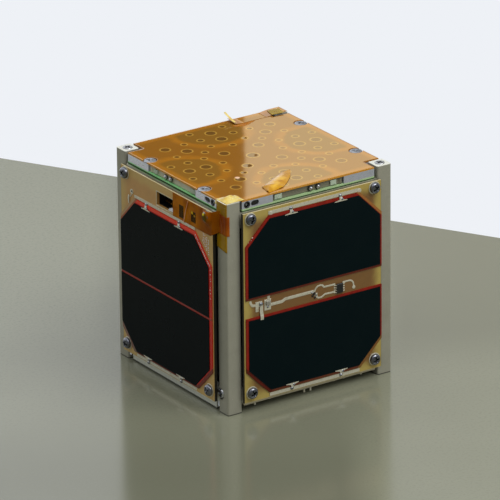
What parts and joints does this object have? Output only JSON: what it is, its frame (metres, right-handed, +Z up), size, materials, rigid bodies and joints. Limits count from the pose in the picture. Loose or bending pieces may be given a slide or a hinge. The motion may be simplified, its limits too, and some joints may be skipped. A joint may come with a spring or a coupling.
{
  "type": "cube satellite",
  "caption": "Small stowed cube satellite: railed frame, side panels of cropped solar cells and a top antenna module whose side doors swing out on upright pins.",
  "frame": {"origin": "middle of the base, at the level of the rail feet", "axes": "+Z up along the rails, -Y towards the front panel, -X towards the panel with the ports"},
  "size_m": [0.1068, 0.1068, 0.1135],
  "materials": {
    "anodised_frame": "matt hard-anodised aluminium",
    "laminate": "bare circuit laminate",
    "red_backing": "glossy red insulating film",
    "cell_glass": "dark solar cell under cover glass",
    "tinned_copper": "tinned copper",
    "steel": "plain steel",
    "green_board": "green circuit board",
    "block_metal": "milled aluminium",
    "door_polymer": "dark grey moulded polymer",
    "black_plastic": "black moulded plastic",
    "cover_board": "laminate seen through amber film",
    "polyimide": "clear amber film",
    "battery_wrap": "wrapped electronics and battery stack"
  },
  "bodies": {
    "bus": {"antenna_blades": "steel", "antenna_board": "green_board", "base_panel": "laminate", "base_pins": "tinned_copper", "bus_strips": "tinned_copper", "cell_backing_back": "red_backing", "cell_backing_front": "red_backing", "cell_backing_left": "red_backing", "cell_backing_right": "red_backing", "corner_block_back_left": "block_metal", "corner_block_back_right": "block_metal", "corner_block_front_left": "block_metal", "corner_block_front_right": "block_metal", "cover_film": "polyimide", "driver_chip": "black_plastic", "electronics_stack": "battery_wrap", "hinge_pins": "steel", "panel_back": "laminate", "panel_front": "laminate", "panel_left": "laminate", "panel_right": "laminate", "panel_standoffs": "steel", "rail_back_left": "anodised_frame", "rail_back_right": "anodised_frame", "rail_front_left": "anodised_frame", "rail_front_right": "anodised_frame", "rail_plungers": "steel", "rib_back_high": "anodised_frame", "rib_back_low": "anodised_frame", "rib_front_high": "anodised_frame", "rib_front_low": "anodised_frame", "service_connector": "black_plastic", "side_bar_left_high": "anodised_frame", "side_bar_left_low": "anodised_frame", "side_bar_right_high": "anodised_frame", "side_bar_right_low": "anodised_frame", "side_connectors": "black_plastic", "solar_cells_back": "cell_glass", "solar_cells_front": "cell_glass", "solar_cells_left": "cell_glass", "solar_cells_right": "cell_glass", "tape_strips": "polyimide", "top_cover": "cover_board"},
    "door_back": {"antenna_door_back": "door_polymer"},
    "door_front": {"antenna_door_front": "door_polymer"},
    "door_left": {"antenna_door_left": "door_polymer"},
    "door_right": {"antenna_door_right": "door_polymer"}
  },
  "joints": [
    {"name": "front_door_hinge", "type": "hinge", "parent": "bus", "child": "door_front", "pos_m": [0.02, -0.0474, 0.11063], "axis": [0, 0, 1], "range_deg": [0, 100]},
    {"name": "right_door_hinge", "type": "hinge", "parent": "bus", "child": "door_right", "pos_m": [0.0474, -0.02, 0.11063], "axis": [0, 0, -1], "range_deg": [0, 100]},
    {"name": "back_door_hinge", "type": "hinge", "parent": "bus", "child": "door_back", "pos_m": [-0.02, 0.0474, 0.11063], "axis": [0, 0, 1], "range_deg": [0, 100]},
    {"name": "left_door_hinge", "type": "hinge", "parent": "bus", "child": "door_left", "pos_m": [-0.0474, 0.02, 0.11063], "axis": [0, 0, -1], "range_deg": [0, 100]}
  ]
}
